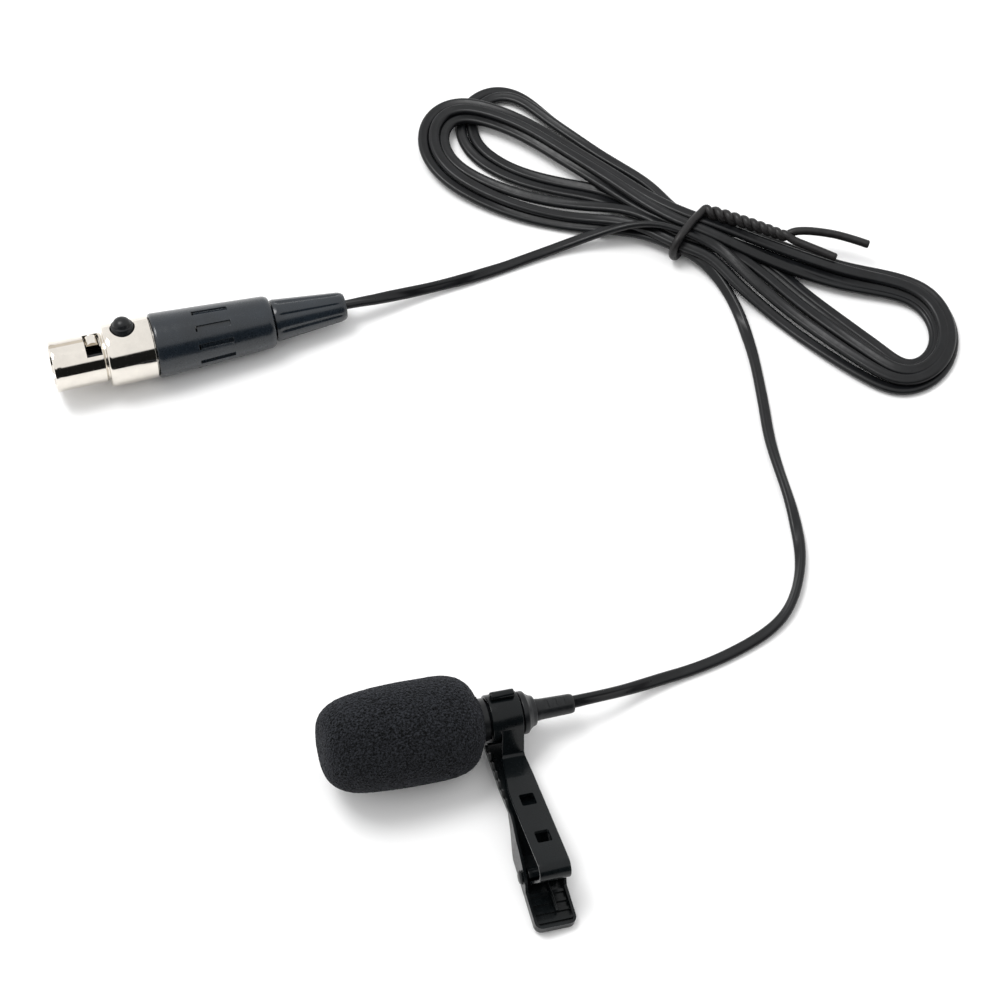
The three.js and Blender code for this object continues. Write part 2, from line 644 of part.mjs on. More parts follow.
// The tie: a wire ring round the hank and the twisted tail with its two free ends.
function hankTie() {
  const side = TIE_HALF_WIDTH;
  const low = TIE_WIRE_R + 0.2;
  const ring = smoothCurve([
    [0.1, side - 1.0, TIE_TOP], [0, 0, TIE_TOP], [0, -side + 1.1, TIE_TOP - 0.15], [0, -side, TIE_TOP - 1.5],
    [0, -side, low + 1.4], [0, -side + 1.3, low], [0, 0, low], [0, side - 1.3, low], [0, side, low + 1.4],
    [0.3, side + 0.1, TIE_TOP - 1.2], [1.6, side, TIE_TOP + 0.2],
  ]);
  const wire = atWaist(tube(ring, TIE_WIRE_R, 40));
  const tail = tube(smoothCurve([[70.2, 100.6, 5.95], [76, 95.8, TAIL_Z], [82.7, 91.3, TAIL_Z]]), 1.2, 6);
  const upperRoute = smoothCurve([
    [82, 91.8, TAIL_Z], [86.6, 91.1, 5.9], [91.1, 89.4, 5.7], [96.6, 85.7, 5.6],
  ]);
  const lowerRoute = smoothCurve([[82, 91.8, TAIL_Z - 0.2], [85.8, 88.5, 5.7], [90.2, 84.8, 5.6]]);
  const upperEnd = tube(upperRoute, TIE_WIRE_R, 8);
  const lowerEnd = tube(lowerRoute, TIE_WIRE_R, 6);
  return joined(wire, tail, upperEnd, lowerEnd);
}

function cord() {
  return [
    meshOf('cord_plug_side', tube(smoothCurve(PLUG_ROUTE), CORD_R, 18), RUBBER),
    meshOf('cord_mic_side', tube(smoothCurve(MIC_ROUTE), CORD_R, 36), RUBBER),
    meshOf('cord_hank', hank(), RUBBER),
    meshOf('hank_tie', hankTie(), BLACK_PLASTIC),
  ];
}

// ---------- assembly ----------

const micGroup = new THREE.Group();
micGroup.position.set(...MIC_AT);
micGroup.rotation.y = rad(MIC_PITCH);
micGroup.add(...microphone(), ...clip());

const plugGroup = new THREE.Group();
plugGroup.position.set(...PLUG_AT);
plugGroup.rotation.set(rad(LATCH_ROLL), rad(PLUG_TILT), rad(PLUG_TURN), 'ZYX');
plugGroup.add(...connector());

const lavalier = new THREE.Group();
lavalier.add(micGroup, plugGroup, ...cord());

export default lavalier;
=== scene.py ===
import json
import math

import bpy
import numpy as np
from mathutils import Matrix, Vector, noise


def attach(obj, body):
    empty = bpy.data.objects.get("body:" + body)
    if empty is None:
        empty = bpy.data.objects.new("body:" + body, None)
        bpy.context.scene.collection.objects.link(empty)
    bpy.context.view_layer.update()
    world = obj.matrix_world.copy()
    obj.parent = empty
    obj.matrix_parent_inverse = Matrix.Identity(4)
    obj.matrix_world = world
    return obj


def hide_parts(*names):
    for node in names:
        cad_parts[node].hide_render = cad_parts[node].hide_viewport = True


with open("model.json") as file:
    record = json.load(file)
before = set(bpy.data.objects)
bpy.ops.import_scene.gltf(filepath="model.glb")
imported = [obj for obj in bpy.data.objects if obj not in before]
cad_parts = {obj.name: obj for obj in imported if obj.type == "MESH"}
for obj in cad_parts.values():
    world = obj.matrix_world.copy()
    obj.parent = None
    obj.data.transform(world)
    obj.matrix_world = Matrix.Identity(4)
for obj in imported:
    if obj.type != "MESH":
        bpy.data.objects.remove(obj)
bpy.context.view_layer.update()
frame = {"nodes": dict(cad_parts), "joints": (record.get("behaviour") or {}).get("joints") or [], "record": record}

MM = 0.001
TAU = 2 * math.pi
X, Y, Z = Vector((1, 0, 0)), Vector((0, 1, 0)), Vector((0, 0, 1))
JOINTS = {joint["name"]: joint for joint in frame["joints"]}


# ---------- the two housings' own axes, from the joints on them ----------

def axes_at(origin, along, across):
    """The frame whose X is along, whose Y is nearest across, and whose origin is given in millimetres."""
    along = along.normalized()
    up = along.cross(across).normalized()
    turn = Matrix((along, up.cross(along), up)).transposed().to_4x4()
    return Matrix.Translation(origin) @ turn


SWIVEL = JOINTS["clip_swivel"]
MIC = axes_at(Vector(SWIVEL["pos_m"]) / MM, Vector(SWIVEL["axis"]), Y)

LATCH = JOINTS["latch_press"]
LATCH_PIVOT_X = 17.6
LEAF_LOW, LEAF_HIGH = 3.0, 3.35
MATING = frame["record"]["mounts"][0]
PLUG_X, PLUG_Y = -Vector(MATING["axis"]), -Vector(LATCH["axis"])
PLUG_Z = PLUG_X.cross(PLUG_Y).normalized()
PLUG_MOUTH = Vector(LATCH["pos_m"]) / MM - LATCH_PIVOT_X * PLUG_X - (LEAF_LOW + LEAF_HIGH) / 2 * PLUG_Z
PLUG = axes_at(PLUG_MOUTH, PLUG_X, PLUG_Y)
TABLE = Matrix.Identity(4)


# ---------- camera ----------

CAMERA_AT = Vector((-42.7, -172.35, 409.63))
CAMERA_AZIMUTH = math.radians(-15.5)
CAMERA_ELEVATION = math.radians(60)

camera_data = bpy.data.cameras.new("camera")
camera_data.lens = 99.98
camera_data.sensor_width = 36
camera_data.clip_start = 0.01
camera_data.clip_end = 20
camera = bpy.data.objects.new("camera", camera_data)
camera.location = CAMERA_AT * MM
camera.rotation_euler = (math.pi / 2 - CAMERA_ELEVATION, 0, CAMERA_AZIMUTH)
bpy.context.scene.collection.objects.link(camera)
bpy.context.scene.camera = camera


# ---------- mesh helpers ----------

def new_object(name, points, faces, place=TABLE, smooth=True):
    mesh = bpy.data.meshes.new(name)
    mesh.from_pydata([(place @ Vector(p)) * MM for p in points], [], faces)
    mesh.validate()
    mesh.shade_smooth() if smooth else mesh.shade_flat()
    made = bpy.data.objects.new(name, mesh)
    bpy.context.scene.collection.objects.link(made)
    return made


def fillet(points, radius, steps=3):
    """The open line with its inner corners rounded. A corner's third number is a radius of its own."""
    out = [tuple(points[0][:2])]
    for before, corner, after in zip(points, points[1:], points[2:]):
        own = corner[2] if len(corner) > 2 else radius
        b, c, a = (np.array(p[:2], float) for p in (before, corner, after))
        reach = min(own, 0.45 * np.linalg.norm(b - c), 0.45 * np.linalg.norm(a - c))
        start = c + (b - c) / np.linalg.norm(b - c) * reach
        end = c + (a - c) / np.linalg.norm(a - c) * reach
        for i in range(steps + 1):
            t = i / steps
            out.append(tuple((1 - t) ** 2 * start + 2 * t * (1 - t) * c + t ** 2 * end))
    return out + [tuple(points[-1][:2])]


def turned(name, profile, place, segments=96, warp=None):
    """A body of revolution about X from (radius, x) pairs, which start and end on the axis or close up."""
    closed = profile[0][0] > 1e-6
    points, rings = [], []
    for radius, x in profile:
        if radius < 1e-6:
            rings.append([len(points)])
            points.append((x, 0, 0))
            continue
        rings.append(list(range(len(points), len(points) + segments)))
        for i in range(segments):
            angle = TAU * i / segments
            r = radius * (warp(x, radius, angle) if warp else 1)
            points.append((x, r * math.cos(angle), r * math.sin(angle)))
    faces = []
    pairs = list(zip(rings, rings[1:])) + ([(rings[-1], rings[0])] if closed else [])
    for one, two in pairs:
        for i in range(segments):
            j = (i + 1) % segments
            if len(one) == 1:
                faces.append((one[0], two[i], two[j]))
            elif len(two) == 1:
                faces.append((one[j], one[i], two[0]))
            else:
                faces.append((one[i], two[i], two[j], one[j]))
    return outward(new_object(name, points, faces, place))


def outward(made):
    """Turns the faces so that they look out."""
    mesh = made.data
    corners = np.array([v.co for v in mesh.vertices])
    volume = sum(
        np.dot(corners[t.vertices[0]], np.cross(corners[t.vertices[1]], corners[t.vertices[2]]))
        for t in loop_triangles(mesh)
    )
    if volume < 0:
        mesh.flip_normals()
    return made


def loop_triangles(mesh):
    mesh.calc_loop_triangles()
    return mesh.loop_triangles


def swept(name, path, sides, section, place=TABLE):
    """A section carried along a path. sides(i) gives the section's two axes there, section(i) its points."""
    points, rings = [], []
    for i, p in enumerate(path):
        one, two = sides(i)
        rings.append(range(len(points), len(points) + len(section(i))))
        points += [Vector(p) + one * u + two * v for u, v in section(i)]
    count = len(rings[0])
    faces = [tuple(rings[0]), tuple(reversed(rings[-1]))]
    for one, two in zip(rings, rings[1:]):
        for i in range(count):
            j = (i + 1) % count
            faces.append((one[i], two[i], two[j], one[j]))
    return outward(new_object(name, points, faces, place))


def circle(radius, count):
    return [(radius * math.cos(TAU * i / count), radius * math.sin(TAU * i / count)) for i in range(count)]


def tangents(path):
    path = np.asarray(path, float)
    ahead = np.gradient(path, axis=0)
    return ahead / np.linalg.norm(ahead, axis=1)[:, None]


def wire(name, path, radius, count=14, place=TABLE):
    """A round wire along a path; its section turns as little as it can. The two end sections are a little narrower
    and closed flat.
    """
    heads = tangents(path)
    sides = [Vector(heads[0]).orthogonal().normalized()]
    for head in heads[1:]:
        last = sides[-1] - Vector(head) * sides[-1].dot(Vector(head))
        sides.append(last.normalized())

    def axes(i):
        return sides[i], Vector(heads[i]).cross(sides[i])

    last = len(path) - 1

    def section(i):
        return circle(radius * (0.72 if i in (0, last) else 1), count)

    return swept(name, [Vector(p) for p in path], axes, section, place)


def block(name, xs, ys, zs, place, turn=Matrix.Identity(4)):
    """A closed box, for cutting."""
    points = [turn @ Vector((x, y, z)) for x in xs for y in ys for z in zs]
    faces = [(0, 1, 3, 2), (4, 6, 7, 5), (0, 4, 5, 1), (2, 3, 7, 6), (0, 2, 6, 4), (1, 5, 7, 3)]
    return outward(new_object(name, points, faces, place, smooth=False))


def rod(name, radius, start, end, place, count=40):
    """A closed round bar between two points, for cutting."""
    start, end = Vector(start), Vector(end)
    head = (end - start).normalized()
    side = head.orthogonal().normalized()
    section = circle(radius, count)
    return swept(name, [start, end], lambda i: (side, head.cross(side)), lambda i: section, place)


def settle(made):
    """Applies the modifiers."""
    bpy.context.view_layer.update()
    graph = bpy.context.evaluated_depsgraph_get()
    mesh = bpy.data.meshes.new_from_object(made.evaluated_get(graph))
    made.modifiers.clear()
    made.data = mesh
    return made


def carve(made, *cutters, how="DIFFERENCE"):
    for cutter in cutters:
        cut = made.modifiers.new("cut", "BOOLEAN")
        cut.operation = how
        cut.object = cutter
        cut.solver = "EXACT"
    settle(made)
    for cutter in cutters:
        bpy.data.objects.remove(cutter)
    return made


def soften(made, width, angle=32, segments=2):
    """A small round on each sharp edge, and smooth shading between them."""
    bevel = made.modifiers.new("edge_round", "BEVEL")
    bevel.width = width * MM
    bevel.segments = segments
    bevel.limit_method = "ANGLE"
    bevel.angle_limit = math.radians(angle)
    bevel.harden_normals = False
    return made


def sharpen(made, angle=32):
    """Edges sharper than angle stay sharp in the shading."""
    made.data.set_sharp_from_angle(angle=math.radians(angle))
    return made


# ---------- materials ----------

def input_of(shader, name, value):
    shader.inputs[name].default_value = value


class Finish:
    """A procedural material: a principled shader with noise in its colour, roughness and bump."""

    def __init__(self, name, color, roughness, metallic=0.0, **sockets):
        self.material = bpy.data.materials.new(name)
        self.material.use_nodes = True
        self.nodes = self.material.node_tree.nodes
        self.links = self.material.node_tree.links
        self.shader = self.nodes["Principled BSDF"]
        self.color, self.roughness = color, roughness
        input_of(self.shader, "Base Color", (*color, 1))
        input_of(self.shader, "Roughness", roughness)
        input_of(self.shader, "Metallic", metallic)
        for socket, value in sockets.items():
            input_of(self.shader, socket.replace("_", " "), value)
        self.place = self.nodes.new("ShaderNodeTexCoord")
        self.normal = None

    def stretched(self, scale):
        mapping = self.nodes.new("ShaderNodeMapping")
        mapping.inputs["Scale"].default_value = scale
        self.links.new(self.place.outputs["Object"], mapping.inputs["Vector"])
        return mapping.outputs["Vector"]

    def noise(self, size, detail=3, rough=0.55, vector=None):
        """Noise whose features are about size millimetres across."""
        node = self.nodes.new("ShaderNodeTexNoise")
        node.inputs["Scale"].default_value = 1 / (size * MM)
        node.inputs["Detail"].default_value = detail
        node.inputs["Roughness"].default_value = rough
        self.links.new(vector or self.place.outputs["Object"], node.inputs["Vector"])
        return node.outputs["Fac"]

    def cells(self, size):
        node = self.nodes.new("ShaderNodeTexVoronoi")
        node.inputs["Scale"].default_value = 1 / (size * MM)
        self.links.new(self.place.outputs["Object"], node.inputs["Vector"])
        return node.outputs["Distance"]

    def ranged(self, source, low, high, start=0.25, end=0.75):
        node = self.nodes.new("ShaderNodeMapRange")
        for name, value in (("From Min", start), ("From Max", end), ("To Min", low), ("To Max", high)):
            node.inputs[name].default_value = value
        self.links.new(source, node.inputs["Value"])
        return node.outputs["Result"]

    def tint(self, source, dark, light, start=0.3, end=0.7):
        """The base colour runs from dark times itself to light times itself."""
        ramp = self.nodes.new("ShaderNodeValToRGB")
        ramp.color_ramp.elements[0].position = start
        ramp.color_ramp.elements[1].position = end
        ramp.color_ramp.elements[0].color = (*[c * dark for c in self.color], 1)
        ramp.color_ramp.elements[1].color = (*[c * light for c in self.color], 1)
        self.links.new(source, ramp.inputs["Fac"])
        self.links.new(ramp.outputs["Color"], self.shader.inputs["Base Color"])

    def gloss(self, source, spread):
        self.links.new(
            self.ranged(source, self.roughness - spread, self.roughness + spread),
            self.shader.inputs["Roughness"],
        )

    def bump(self, source, height):
        """height is in millimetres."""
        node = self.nodes.new("ShaderNodeBump")
        node.inputs["Distance"].default_value = height * MM
        node.inputs["Strength"].default_value = 1
        self.links.new(source, node.inputs["Height"])
        if self.normal:
            self.links.new(self.normal, node.inputs["Normal"])
        self.normal = node.outputs["Normal"]
        self.links.new(self.normal, self.shader.inputs["Normal"])


def foam_finish():
    made = Finish("foam", (0.0068, 0.0073, 0.0087), 0.9, Specular_IOR_Level=0.12, Sheen_Weight=0.05,
                  Sheen_Roughness=0.5, Sheen_Tint=(0.7, 0.75, 0.85, 1))
    pores = made.ranged(made.cells(0.42), 1.0, 0.0, 0.05, 0.6)
    made.tint(made.noise(0.34, 3, 0.6), 0.1, 3.4, 0.40, 0.62)
    made.bump(pores, 0.35)
    made.bump(made.noise(0.2, 2), 0.08)
    made.bump(made.noise(1.4, 2), 0.10)
    return made.material


def cord_finish():
    made = Finish("cord_pvc", (0.0042, 0.0046, 0.0054), 0.34, Specular_IOR_Level=0.25, Coat_Weight=0.05,
                  Coat_Roughness=0.2)
    made.tint(made.noise(3.2), 0.7, 1.4)
    made.gloss(made.noise(1.1), 0.08)
    made.bump(made.noise(0.12, 3), 0.006)
    made.bump(made.noise(2.6, 2), 0.03)
    return made.material


def handle_finish():
    made = Finish("handle_rubber", (0.0085, 0.0125, 0.0175), 0.25, Specular_IOR_Level=0.46, Coat_Weight=0.12,
                  Coat_Roughness=0.15)
    made.tint(made.noise(5.0), 0.8, 1.25)
    made.gloss(made.noise(0.8, 4), 0.07)
    made.bump(made.noise(0.09, 3), 0.0015)
    made.bump(made.noise(2.3, 2), 0.014)
    return made.material


def plastic_finish(name, roughness):
    made = Finish(name, (0.005, 0.0058, 0.0068), roughness, Specular_IOR_Level=0.3)
    made.tint(made.noise(2.2), 0.75, 1.35)
    made.gloss(made.noise(0.6, 4), 0.08)
    made.bump(made.noise(0.08, 3), 0.004)
    made.bump(made.noise(0.9, 2), 0.010)
    return made.material


def steel_finish():
    made = Finish("black_ecoat", (0.0028, 0.0040, 0.0046), 0.24, Specular_IOR_Level=0.19, Coat_Weight=0.07,
                  Coat_Roughness=0.12)
    made.tint(made.noise(4.0), 0.8, 1.3)
    made.gloss(made.noise(0.7, 4), 0.06)
    made.bump(made.noise(0.35, 2), 0.003)
    made.bump(made.noise(3.5, 1), 0.03)
    return made.material


def nickel_finish():
    made = Finish("polished_nickel", (0.74, 0.70, 0.64), 0.085, 1.0)
    lines = made.stretched((1.0, 26.0, 26.0))
    made.gloss(made.noise(0.8, 4), 0.035)
    made.tint(made.noise(2.4), 0.94, 1.04)
    made.bump(made.noise(6.0, 3, vector=lines), 0.0006)
    made.bump(made.noise(2.2, 2), 0.004)
    return made.material


def brass_finish():
    made = Finish("gold_flash", (0.78, 0.56, 0.22), 0.22, 1.0)
    made.gloss(made.noise(0.3), 0.06)
    made.bump(made.noise(0.2), 0.002)
    return made.material


def felt_finish():
    made = Finish("felt", (0.03, 0.03, 0.032), 0.95, Sheen_Weight=0.4)
    made.tint(made.noise(0.3), 0.6, 1.6)
    made.bump(made.noise(0.15, 4), 0.05)
    return made.material


def board_finish():
    made = Finish("solder_mask", (0.015, 0.10, 0.045), 0.4, Coat_Weight=0.3)
    made.tint(made.noise(0.8), 0.8, 1.2)
    made.bump(made.noise(0.4), 0.01)
    return made.material


def conductor_finish():
    made = Finish("conductor", (0.42, 0.05, 0.035), 0.45)
    made.tint(made.noise(0.9), 0.85, 1.15)
    made.bump(made.noise(0.2), 0.01)
    return made.material


def tie_finish():
    made = Finish("tie_plastic", (0.0085, 0.0078, 0.008), 0.42, Specular_IOR_Level=0.32)
    made.tint(made.noise(1.2), 0.7, 1.5)
    made.gloss(made.noise(0.5, 4), 0.1)
    made.bump(made.noise(0.1, 3), 0.008)
    made.bump(made.noise(0.7, 2), 0.04)
    return made.material


FINISH = {
    "foam": foam_finish(),
    "cord": cord_finish(),
    "handle_rubber": handle_finish(),
    "rubber": plastic_finish("satin_rubber", 0.38),
    "black_plastic": plastic_finish("black_plastic", 0.34),
    "black_steel": steel_finish(),
    "nickel": nickel_finish(),
    "brass": brass_finish(),
    "felt": felt_finish(),
    "board": board_finish(),
    "conductor": conductor_finish(),
    "tie_plastic": tie_finish(),
}


def dressed(made, slot, body, *nodes):
    """Gives a piece its material, the body it rides on and the CAD nodes it stands for."""
    made.data.materials.clear()
    made.data.materials.append(FINISH[slot])
    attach(made, body)
    if nodes:
        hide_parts(*nodes)
    return made


# ---------- cord ----------

LOBE_R = 0.61
LOBE_GAP = 0.86
WEB_HALF = 0.5
CORD_STEP = 0.6
LIE = LOBE_R + 0.01
TIE_WAIST = Vector((66.8, 97.9, 0))
TIE_TURN_LEFT, TIE_TURN_RIGHT = math.radians(-45), math.radians(-36)
TIE_TURN = (TIE_TURN_LEFT + TIE_TURN_RIGHT) / 2
COLUMN_GAP = 2.0
ROW_GAP = 1.08
ROW_LOW = 2.3

MIC_LEAD = [
    (18.6, 13.2, 5.55), (21.15, 13.25, 5.2), (24, 13.35, 4.75), (28, 13.8, 3.5), (32, 14.5, 2.1),
    (36.5, 15.3, 1.2), (40, 15.7, 0.75), (43.5, 16, LIE), (47.3, 16.6, LIE), (51.2, 17.5, LIE),
    (55.2, 18.7, LIE), (58.7, 20.3, LIE), (61.6, 22.8, LIE), (63.9, 26.2, LIE), (65.6, 29.8, LIE),
    (66.7, 33.7, LIE), (67.3, 37.8, LIE), (67.7, 41.9, LIE), (67.8, 46.2, LIE), (67.9, 49.9, LIE),
    (68.4, 55.9, LIE), (69.3, 60.5, LIE), (70.0, 65.3, LIE), (70.7, 70, LIE), (71.1, 75, LIE),
    (71.2, 80, LIE), (70.8, 84.4, LIE), (69.9, 88.4, 1.0),
]
PLUG_LEAD = [
    (61.2, 100.6, 4.5), (58, 101.6, 4.2), (54, 102.2, 3.4), (50, 102.7, 2.2), (46, 102.8, 1.2),
    (42, 102.5, 0.7), (38, 102.0, LIE), (34, 101.4, LIE), (30, 100.9, LIE), (26, 100.4, 0.8),
    (21, 100.0, 1.15), (16, 99.6, 1.8), (11.5, 99.2, 2.9), (7.5, 98.9, 3.7), (4.4, 98.72, 3.94),
    (1.5, 98.68, 4.1),
]
# The outer edge of each lobe of the hank, followed clockwise.
FRONT_LOBE = [
    (60.5, 99.0), (55.7, 101.7), (46.8, 105.9), (39.3, 110.1), (32.9, 115.3), (27.9, 121.1),
    (25.6, 127.1), (25.9, 132.5), (28.6, 137.2), (32.8, 139.2), (37.0, 138.4), (42.0, 135.0),
    (47.3, 129.8), (52.6, 122.9), (58.8, 114.4), (64.1, 106.5),
]
REAR_LOBE = [
    (54.9, 109.1), (47.0, 114.0), (40.9, 118.1), (36.6, 122.5), (33.7, 127.5), (33.3, 133.6),
    (36.6, 139.2), (42.4, 141.3), (47.4, 138.6), (51.8, 130.8), (58.4, 120.5), (64.9, 110.8),
    (68.5, 105.4),
]
RIGHT_LOBE = [
    (74.7, 99.4), (79.8, 95.4), (86.7, 90.2), (93.6, 85.1), (101.0, 80.9), (106.0, 76.4),
    (107.6, 70.0), (106.5, 64.1), (102.6, 58.9), (97.1, 56.4), (92.0, 57.0), (87.5, 61.2),
    (82.1, 68.3), (76.5, 77.0), (71.4, 85.5), (67.6, 92.0),
]
# Each turn: its lobe, the column and row of its two passes through the tie, and, on its first limb, at its
# round end and on its second limb, how far it lies inside the lobe's edge and how high.
TURNS = [
    (FRONT_LOBE, (3, 0), (0, 2), (1.0, 1.0, 1.0), (0.7, 1.9, 3.0)),
    (RIGHT_LOBE, (0, 2), (2, 1), (3.0, 2.7, 5.6), (3.0, 1.9, 1.7)),
    (FRONT_LOBE, (2, 1), (1, 1), (5.0, 4.6, 3.6), (1.8, 1.9, 2.4)),
    (RIGHT_LOBE, (1, 1), (2, 0), (4.6, 3.6, 7.0), (1.9, 0.7, LIE)),
    (REAR_LOBE, (2, 0), (0, 0), (0.9, 0.9, 1.0), (LIE, LIE, 0.7)),
    (RIGHT_LOBE, (0, 0), (3, 1), (0.9, 1.0, 1.0), (0.7, LIE, 0.8)),
    (FRONT_LOBE, (3, 1), (1, 2), (2.2, 2.9, 2.4), (1.8, 2.6, 3.4)),
    (RIGHT_LOBE, (1, 2), (1, 0), (5.6, 4.0, 8.6), (1.8, LIE, LIE)),
    (REAR_LOBE, (1, 0), (0, 1), (2.8, 3.0, 1.4), (0.9, 0.7, 1.8)),
    (RIGHT_LOBE, (0, 1), (2, 2), (1.6, 1.5, 3.1), (1.9, 1.8, 1.9)),
]


def ease(low, high, t):
    t = min(max((t - low) / (high - low), 0), 1)
    return t * t * (3 - 2 * t)


def in_tie(place, along):
    """Where a strand is that passes through the tie in this column and row."""
    column, row = place
    reach = (1.5 - column) * COLUMN_GAP
    turn = TIE_TURN_LEFT if along < 0 else TIE_TURN_RIGHT
    x = TIE_WAIST.x + along * math.cos(turn) - reach * math.sin(TIE_TURN)
    y = TIE_WAIST.y + along * math.sin(turn) + reach * math.cos(TIE_TURN)
    return Vector((x, y, ROW_LOW + row * ROW_GAP))


def turn_points(lobe, first, last, insets, heights):
    """One turn round a lobe, from the tie and back to it."""
    side = 1 if lobe is RIGHT_LOBE else -1
    out = []
    for i, (x, y) in enumerate(lobe):
        x0, y0 = lobe[max(i - 1, 0)]
        x1, y1 = lobe[min(i + 1, len(lobe) - 1)]
        stride = math.hypot(x1 - x0, y1 - y0)
        inward = Vector(((y1 - y0) / stride, (x0 - x1) / stride))
        t = i / (len(lobe) - 1)
        first_left, second_on = 1 - ease(0.1, 0.45, t), ease(0.45, 0.85, t)
        inset, height = (
            v[0] * first_left + v[1] * (1 - first_left - second_on) + v[2] * second_on
            for v in (insets, heights)
        )
        apart = math.hypot(x - TIE_WAIST.x, y - TIE_WAIST.y)
        free, level = ease(2, 13, apart), ease(3, 26, apart)
        held = in_tie(first if t < 0.5 else last, side * apart)
        loose = Vector((x, y)) + inward * inset
        flat = held.xy.lerp(loose, free)
        out.append(Vector((*flat, held.z + (height - held.z) * level)))
    return out


def cord_points():
    out = [Vector(p) for p in MIC_LEAD]
    out += [in_tie(TURNS[0][1], 2.5), in_tie(TURNS[0][1], -2.5)]
    for lobe, first, last, insets, heights in TURNS:
        out += turn_points(lobe, first, last, insets, heights)
        ends = (2.5, -2.5) if lobe is RIGHT_LOBE else (-2.5, 2.5)
        out += [in_tie(last, along) for along in ends]
    return out + [Vector(p) for p in PLUG_LEAD]


def smooth_path(points, step, blur=3):
    """A centripetal Catmull-Rom curve through the points, in equal steps, a little eased."""
    p = np.array([tuple(q) for q in points], float)
    p = np.vstack([2 * p[0] - p[1], p, 2 * p[-1] - p[-2]])
    fine = []
    for p0, p1, p2, p3 in zip(p, p[1:], p[2:], p[3:]):
        spans = ((p0, p1), (p1, p2), (p2, p3))
        t0, t1, t2, t3 = np.cumsum([0] + [math.sqrt(np.linalg.norm(b - a)) for a, b in spans])
        for t in np.linspace(t1, t2, max(4, int(np.linalg.norm(p2 - p1) / step * 2)), endpoint=False):
            a1 = p0 + (p1 - p0) * (t - t0) / (t1 - t0)
            a2 = p1 + (p2 - p1) * (t - t1) / (t2 - t1)
            a3 = p2 + (p3 - p2) * (t - t2) / (t3 - t2)
            b1 = a1 + (a2 - a1) * (t - t0) / (t2 - t0)
            b2 = a2 + (a3 - a2) * (t - t1) / (t3 - t1)
            fine.append(b1 + (b2 - b1) * (t - t1) / (t2 - t1))
    fine = np.array([*fine, p[-2]])
    run = np.concatenate([[0], np.cumsum(np.linalg.norm(np.diff(fine, axis=0), axis=1))])
    even = np.linspace(0, run[-1], int(run[-1] / step) + 1)
    path = np.stack([np.interp(even, run, fine[:, k]) for k in range(3)], 1)
    if not blur:
        return path
    reach = 3 * blur
    weights = np.exp(-0.5 * (np.arange(-reach, reach + 1) / blur) ** 2)
    weights /= weights.sum()
    wide = np.vstack([2 * path[0] - path[reach:0:-1], path, 2 * path[-1] - path[-2:-reach - 2:-1]])
    return np.stack([np.convolve(wide[:, k], weights, "valid") for k in range(3)], 1)


def twin_section(count=13):
    """Two round cores side by side with a shallow groove between them."""
    angles = [math.pi - (TAU * i / count) for i in range(1, count)]
    right = [(LOBE_GAP / 2 + LOBE_R * math.cos(a), LOBE_R * math.sin(a)) for a in angles]
    right = [(x, y) for x, y in right if x > 0.12 and (x > LOBE_GAP / 2 or abs(y) > WEB_HALF)]
    left = [(-x, -y) for x, y in right]
    return [(0, WEB_HALF), *right, (0, -WEB_HALF), *left]


def cord_roll(run, total):
    """How far the flat cord leans over along its length: loose in the leads, nearly flat in the hank."""
    hank = ease(95, 150, run) * (1 - ease(total - 110, total - 60, run))
    loose = 0.75 * math.sin(run / 11.0 + 0.6) + 0.35 * math.sin(run / 4.7)
    packed = 0.2 * math.sin(run / 13.0) + 0.08 * math.sin(run / 5.3 + 2)
    return loose * (1 - hank) + packed * hank


def make_cord():
    path = smooth_path(cord_points(), CORD_STEP, blur=4)
    total = len(path) * CORD_STEP
    rolls = [cord_roll(i * CORD_STEP, total) for i in range(len(path))]
    path[:, 2] += [LOBE_GAP / 2 * abs(math.sin(roll)) for roll in rolls]
    heads = tangents(path)
    section = twin_section()

    def axes(i):
        head = Vector(heads[i])
        side = Z.cross(head).normalized()
        up = head.cross(side)
        roll = rolls[i]
        return side * math.cos(roll) + up * math.sin(roll), up * math.cos(roll) - side * math.sin(roll)

    cord = swept("cord", path, axes, lambda i: section)
    dressed(cord, "cord", "root", "cord_plug_side", "cord_mic_side", "cord_hank")
    return cord, path


# ---------- tie ----------

TIE_R = 0.74
TIE_HALF = 4.9
TIE_TOP = 5.75
TIE_LOW = TIE_R + 0.2
TAIL_FROM = Vector((70.9, 100.3, 5.4))
TAIL_TO = Vector((82.8, 91.7, 5.0))
TAIL_TURNS = 4.5


def tie_tail(phase):
    """One of the tail's two twisted strands, from the hank outwards."""
    ahead = (TAIL_TO - TAIL_FROM).normalized()
    side = Z.cross(ahead).normalized()
    up = ahead.cross(side)
    out = []
    steps = 60
    for i in range(steps + 1):
        t = i / steps
        angle = phase + TAU * TAIL_TURNS * (0.82 * t + 0.18 * t * t)
        reach = 0.68 - 0.26 * t
        middle = TAIL_FROM.lerp(TAIL_TO, t) + Z * (0.35 * math.sin(math.pi * t))
        out.append(middle + side * (reach * math.cos(angle)) + up * (reach * math.sin(angle)))
    return out


